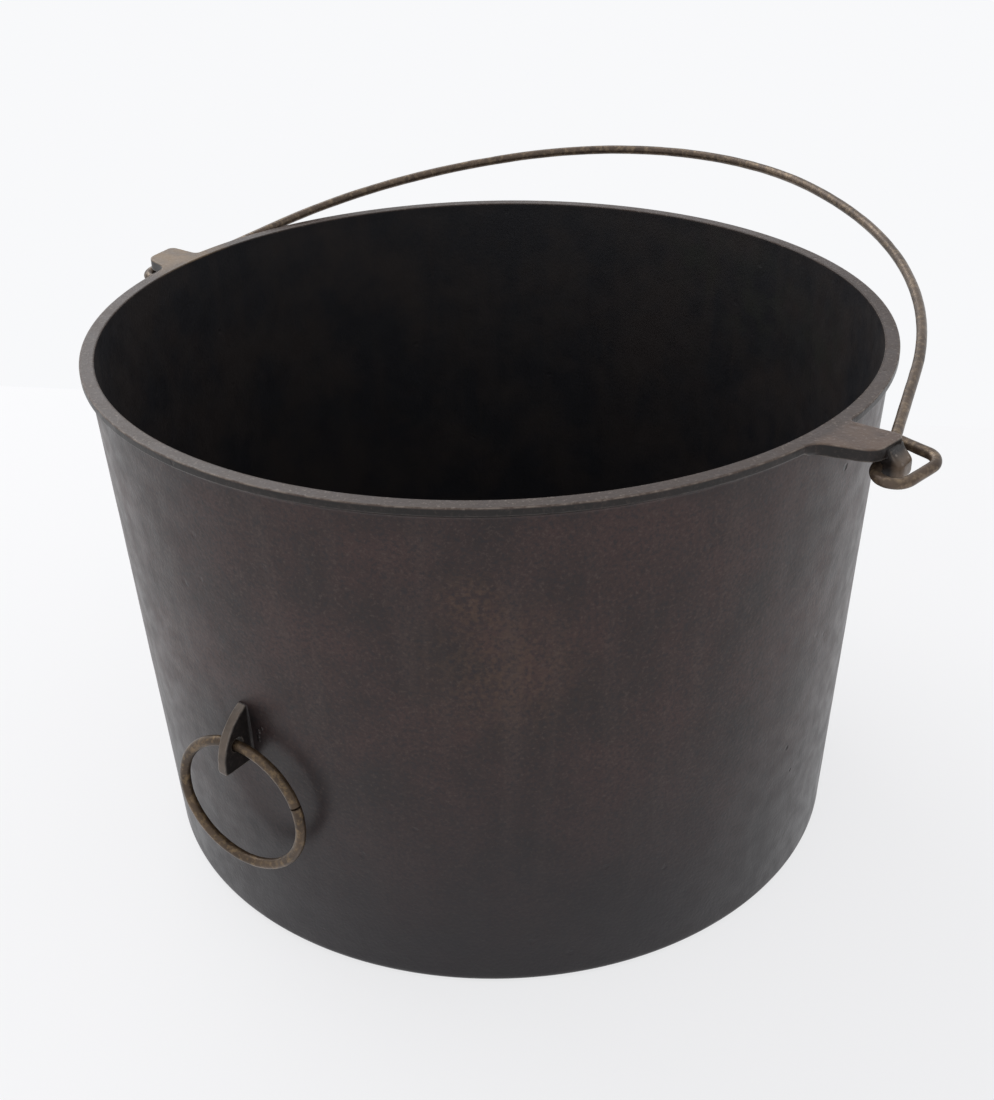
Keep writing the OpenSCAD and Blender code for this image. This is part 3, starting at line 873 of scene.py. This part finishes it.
def lugOutline(wallAt):
    s = lugShape
    top = s["low"] + s["height"]
    out = lugFace - potShape["baseRadius"] - wallRise * top
    rise = s["height"] - s["belly"]
    radius = (out ** 2 + rise ** 2) / (2 * out)
    middle = (lugFace - radius, s["low"] + s["belly"])
    low = math.asin((s["belly"] - s["round"]) / radius)
    toe = (middle[0] + radius * math.cos(low) - s["round"], s["low"] + s["round"])
    points = [(wallAt - s["rootDepth"], s["low"])]
    points += arc(toe, s["round"], -90, 0, 4)
    points += arc(middle, radius, -math.degrees(low), math.degrees(math.atan2(rise, radius - out)), 18)
    points.append((wallAt - s["rootDepth"], top))
    return points


def makeLug():
    s = lugShape
    wallAt = potShape["baseRadius"] + wallRise * (s["low"] + s["height"] / 2)
    outline = lugOutline(wallAt)
    half = s["thickness"] / 2

    def fill(work):
        addPrism(work, outline, lambda y, z, h: (h, -y, z), -half, half)
        # stacked slices spread the root into the wall
        for i in range(s["slices"]):
            wide = half + s["rootRound"] * (1 - math.sqrt(1 - (1 - i / s["slices"]) ** 2))
            depth = s["rootRound"] * (i + 1) / s["slices"]
            flat = [(y if y < wallAt + depth else wallAt + depth, z) for y, z in outline]
            addPrism(work, flat, lambda y, z, h: (h, -y, z), -wide, wide)

    lug = fuseCasting("ring_lug", fill, s["fuse"], s["seed"])
    cutter = bpy.data.meshes.new("holeCutter")
    work = bmesh.new()
    bmesh.ops.create_cone(work, cap_ends=True, segments=64, radius1=s["holeRadius"] * mm,
                          radius2=s["holeRadius"] * mm, depth=0.02,
                          matrix=Matrix.Translation(Vector((0, holeY, holeZ)) * mm)
                          @ Matrix.Rotation(math.pi / 2, 4, "Y"))
    work.to_mesh(cutter)
    work.free()
    cutterPiece = linkObject("holeCutter", cutter)
    drill = lug.modifiers.new("hole", "BOOLEAN")
    drill.operation = "DIFFERENCE"
    drill.object = cutterPiece
    settle(lug)
    bpy.data.objects.remove(cutterPiece)


# The wires of the bail and the ring, a hair thinner than their solids
wireShape = {"sides": 32, "thinner": 0.005, "unevenHeight": 0.0003}


def makeWirePiece(name, points, radius, unevenSize, seed, material):
    wire = pointMesh(name, points)
    growWith(wire, wireAlongPath, {
        "Wire Radius": (radius - wireShape["thinner"]) * mm, "Sides": wireShape["sides"],
        "Uneven Height": wireShape["unevenHeight"], "Uneven Size": unevenSize, "Seed": seed,
        "Material": material})
    return wire


# The bail: one wire, bent round a path of straight runs and bends
bailShape = {
    "wireRadius": 1.75, "height": 160, "crownRadius": 111.5, "crownShift": -4.4, "rest": 8.5,
    "play": 0.35, "drop": 0.05, "eyeGap": 0.4, "leftLegGap": 2.75, "eyeLean": 6.8,
    "knuckleRadius": 10, "knuckleAt": 6, "bowAt": 11.6,
    "outerRun": 8.3, "cornerRadius": 4.9, "closingLean": 13.4, "endGap": 0.5,
    "pointsPerRun": 12, "unevenSize": 0.006, "seed": 7.0,
}
bailSides = {
    "right": {"crown": 25.5, "shoulder": 170, "bowRadius": 5.5, "bowTurn": 156.8},
    "left": {"crown": 41.5, "shoulder": 164.5, "bowRadius": 4.6, "bowTurn": 170},
}


def walk(state, run, radius=0, turn=0, spacing=1):
    # follows one straight run and one bend, and returns the points on the way and the new state
    x, u, heading = state
    a = math.radians(heading)
    points = []
    if run > 0:
        steps = bailShape["pointsPerRun"]
        points = [(x + run * i / steps * math.cos(a), u + run * i / steps * math.sin(a))
                  for i in range(1, steps + 1)]
    x, u = x + run * math.cos(a), u + run * math.sin(a)
    if turn:
        side = math.copysign(1, turn)
        centre = (x - side * radius * math.sin(a), u + side * radius * math.cos(a))
        steps = max(4, round(radius * math.radians(abs(turn)) / spacing))
        start = heading - side * 90
        points += arc(centre, radius, start, start + turn, steps)[1:]
        x, u = points[-1]
    return points, (x, u, heading + turn)


def halfBail(side, knuckleX):
    s = bailShape
    crown = math.radians(side["crown"])
    shoulder = side["shoulder"]
    gap = s["crownRadius"] - shoulder
    centre = Vector((gap * math.sin(crown), s["height"] - s["crownRadius"] + gap * math.cos(crown)))
    k = Vector((knuckleX, s["knuckleAt"])) - centre
    tangent = math.degrees(math.atan2(k.y, k.x) + math.acos(shoulder / k.length))
    knuckleTurn = s["eyeLean"] - tangent
    trim = s["knuckleRadius"] * math.tan(math.radians(abs(knuckleTurn) / 2))
    eyeRun = (s["knuckleAt"] + s["bowAt"]) / math.cos(math.radians(s["eyeLean"])) - trim
    cornerTurn = 270 - s["closingLean"] - s["eyeLean"] - side["bowTurn"]
    steps = [
        (0, s["crownRadius"], -side["crown"], 2.5),
        (0, shoulder, side["crown"] + tangent - 90, 2.5),
        (math.sqrt(k.length ** 2 - shoulder ** 2) - trim, s["knuckleRadius"], knuckleTurn, 0.5),
        (eyeRun, side["bowRadius"], side["bowTurn"], 0.4),
        (s["outerRun"], s["cornerRadius"], cornerTurn, 0.4),
    ]
    state = (0, s["height"], 0)
    points = [state[:2]]
    for step in steps:
        more, state = walk(state, *step)
        points += more
    last = (knuckleX + s["wireRadius"] + s["endGap"] - state[0]) / math.cos(math.radians(state[2]))
    return points + walk(state, last)[0]


def makeBail():
    s = bailShape
    hingeY = -earShape["back"] + s["wireRadius"] + s["play"] - toeShape["setBack"]
    hingeZ = rimHeight - earShape["thickness"] - s["wireRadius"] - s["drop"]
    ear = earSides["right"]
    toeInside = rimRadius + ear["length"] + ear["toeOut"] - toeShape["thickness"]
    eyeSlant = (s["knuckleAt"] + s["bowAt"]) * math.tan(math.radians(s["eyeLean"]))
    rightKnuckle = toeInside - s["eyeGap"] - s["wireRadius"] - eyeSlant
    leftKnuckle = rimRadius + s["leftLegGap"] + s["wireRadius"]
    right = halfBail(bailSides["right"], rightKnuckle - s["crownShift"])
    left = halfBail(bailSides["left"], leftKnuckle + s["crownShift"])
    flat = [(-x + s["crownShift"], u) for x, u in reversed(left[1:])]
    flat += [(x + s["crownShift"], u) for x, u in right]
    lean = math.radians(s["rest"])
    points = [(x, hingeY + u * math.cos(lean), hingeZ + u * math.sin(lean)) for x, u in flat]
    bail = makeWirePiece("bail_wire", points, s["wireRadius"], s["unevenSize"], s["seed"], bailWire)
    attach(bail, "handle")
    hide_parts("bail")


# The tilt ring: one wire, open at its butt seam
ringShape = {
    "wireRadius": 1.75, "radius": 22.7, "yaw": 6, "seam": 0.5, "seamAt": 108, "points": 220,
    "unevenSize": 0.005, "seed": 11.0,
}


def makeTiltRing():
    s = ringShape
    ringZ = holeZ - (lugShape["holeRadius"] - s["wireRadius"]) + lugShape["ringPlay"]
    seam = math.degrees(s["seam"] / s["radius"])
    yaw = math.radians(s["yaw"])
    start = s["seamAt"] - 90 + seam / 2
    stop = s["seamAt"] + 270 - seam / 2
    points = [(x * math.cos(yaw), holeY + x * math.sin(yaw), ringZ - s["radius"] + z)
              for x, z in arc((0, 0), s["radius"], start, stop, s["points"])]
    ring = makeWirePiece("tilt_ring_wire", points, s["wireRadius"], s["unevenSize"], s["seed"], ringWire)
    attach(ring, "ring")
    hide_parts("tilt_ring")


potWall = makePotWall()
print("pot wall made")
makeEar("right_ear", earSides["right"])
makeEar("left_ear", earSides["left"])
makeLug()
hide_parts("pot")
print("ears and lug made")
makeBail()
makeTiltRing()
print("bail and ring made")

# Floor, backdrop and soft light
stageShape = {
    "floorSize": 6.0, "leftEdge": (0, 386), "rightEdge": (994, 428),
    "floorColour": (0.9, 0.9, 0.905, 1), "floorRoughness": 0.9, "floorGlow": (0.97, 0.97, 0.98, 1),
    "glowShare": 0.75,
}


def onFloor(pixel):
    right = photoView["right"]
    up = photoView["up"]
    ahead = up.cross(right)
    x = pixel[0] - photoView["frameWidth"] / 2
    y = photoView["frameHeight"] / 2 - pixel[1]
    ray = ahead * photoView["focalPixels"] + right * x + up * y
    return photoView["place"] - ray * (photoView["place"].z / ray.z)


def seenDirectly(tree):
    # camera rays, and camera or glossy rays
    path = tree.nodes.new("ShaderNodeLightPath").outputs
    return path["Is Camera Ray"], mathNode(tree, "MAXIMUM", path["Is Camera Ray"], path["Is Glossy Ray"])


def addStage():
    s = stageShape
    left = onFloor(s["leftEdge"])
    right = onFloor(s["rightEdge"])
    run = (right - left).normalized()
    a = left - run * s["floorSize"]
    b = right + run * s["floorSize"]
    near = Vector((run.y, -run.x, 0)) * 2 * s["floorSize"]
    floorMesh = bpy.data.meshes.new("floor")
    floorMesh.from_pydata([a, b, b + near, a + near], [], [(0, 3, 2, 1)])
    floor = linkObject("floor", floorMesh)
    floorMaterial, tree, surface, place = newMaterial("paleFloor")
    surface.inputs["Base Color"].default_value = s["floorColour"]
    surface.inputs["Roughness"].default_value = s["floorRoughness"]
    glow = addNode(tree, "ShaderNodeEmission", Color=s["floorGlow"])
    share = mathNode(tree, "MULTIPLY", seenDirectly(tree)[1], s["glowShare"])
    mix = addNode(tree, "ShaderNodeMixShader", i0=share, i1=surface.outputs[0], i2=glow.outputs[0])
    tree.links.new(mix.outputs[0], tree.nodes["Material Output"].inputs[0])
    floorMesh.materials.append(floorMaterial)


# The room is a little dimmer on the camera's right
lightShape = {
    "room": (0.72, 0.73, 0.76, 1), "seenRoom": (0.94, 0.945, 0.96, 1),
    "dimSide": (0.97, -0.24, 0), "dimFade": (0.45, 0.95, 1.0, 0.62),
    "keySize": (1.6, 1.2), "keyPower": 16, "keyPlace": (-1.3, 0.3, 1.5), "keyAim": (1.3, -0.3, -1.4),
}


def addLights():
    s = lightShape
    world = bpy.data.worlds.new("studio")
    bpy.context.scene.world = world
    world.use_nodes = True
    tree = world.node_tree
    tree.nodes.clear()
    camera, seen = seenDirectly(tree)
    direction = tree.nodes.new("ShaderNodeTexCoord").outputs["Generated"]
    toDim = vectorNode(tree, "DOT_PRODUCT", direction, s["dimSide"])
    strength = mathNode(tree, "MAXIMUM", spread(tree, toDim, *s["dimFade"]), camera)
    background = addNode(tree, "ShaderNodeBackground", Strength=strength,
                         Color=mixColour(tree, seen, s["room"], s["seenRoom"]))
    output = tree.nodes.new("ShaderNodeOutputWorld")
    tree.links.new(background.outputs[0], output.inputs[0])
    key = bpy.data.lights.new("softKey", "AREA")
    key.shape = "RECTANGLE"
    key.size, key.size_y = s["keySize"]
    key.energy = s["keyPower"]
    keyLight = linkObject("softKey", key)
    keyLight.location = s["keyPlace"]
    keyLight.rotation_mode = "QUATERNION"
    keyLight.rotation_quaternion = Vector(s["keyAim"]).to_track_quat("-Z", "Y")


addCamera()
addStage()
addLights()
bpy.context.scene.view_settings.view_transform = "Standard"
print("stage, lights and camera set")
